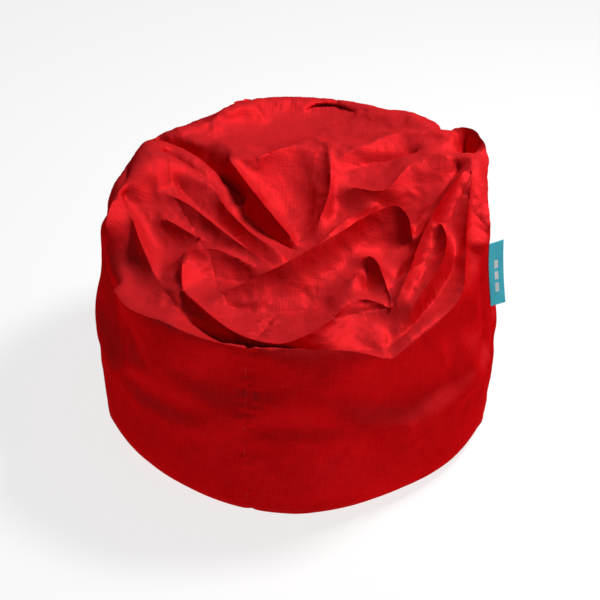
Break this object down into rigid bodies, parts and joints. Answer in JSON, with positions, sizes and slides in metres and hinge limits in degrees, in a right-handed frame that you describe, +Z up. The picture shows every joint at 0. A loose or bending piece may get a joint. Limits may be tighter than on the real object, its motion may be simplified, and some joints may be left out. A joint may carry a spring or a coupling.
{
  "type": "bean bag chair",
  "caption": "Slack drum-shaped bean bag seat with a slumped crown, panelled zip cover, zipped bead liner and a side label.",
  "frame": {"origin": "centre of the base panel's underside, on the floor", "axes": "+Z up, -Y towards the sitter's front, +X to the side that carries the label"},
  "size_m": [0.7908, 0.7696, 0.51],
  "materials": {
    "cover_fabric": "glossy red woven nylon",
    "base_fabric": "matt dark red canvas",
    "zip_tape": "woven red tape",
    "zip_coil": "red nylon coil",
    "slider_metal": "dull grey metal",
    "label_fabric": "woven turquoise satin",
    "liner_fabric": "matt off-white nonwoven",
    "beads": "white expanded foam beads"
  },
  "bodies": {
    "cover": {"base_panel": "base_fabric", "side_panel_front_right": "cover_fabric", "side_panel_back_right": "cover_fabric", "side_panel_back_left": "cover_fabric", "side_panel_front_left": "cover_fabric", "crown_panel": "cover_fabric", "cover_zip_tape_left": "zip_tape", "cover_zip_tape_right": "zip_tape", "cover_zip_chain_left": "zip_coil", "cover_zip_chain_right": "zip_coil", "cover_zip_top_stop": "slider_metal", "cover_zip_bottom_stop": "slider_metal", "zip_garage": "cover_fabric", "liner_bag": "liner_fabric", "liner_zip_tape_left": "zip_tape", "liner_zip_tape_right": "zip_tape", "liner_zip_chain_left": "zip_coil", "liner_zip_chain_right": "zip_coil", "liner_zip_top_stop": "slider_metal", "liner_zip_bottom_stop": "slider_metal", "bead_fill": "beads"},
    "cover_zip_slider": {"cover_zip_slider": "slider_metal"},
    "liner_zip_slider": {"liner_zip_slider": "slider_metal"},
    "side_label": {"side_label": "label_fabric"}
  },
  "joints": [
    {"name": "cover_zip_slide", "type": "slide", "parent": "cover", "child": "cover_zip_slider", "axis": [0, 0, 1], "range_m": [0, 0.336]},
    {"name": "liner_zip_slide", "type": "slide", "parent": "cover", "child": "liner_zip_slider", "axis": [0, 0, 1], "range_m": [0, 0.186]},
    {"name": "label_flap", "type": "hinge", "parent": "cover", "child": "side_label", "pos_m": [0.3763, -0.08688, 0.338], "axis": [0, 0, 1], "range_deg": [-115, 35]}
  ]
}
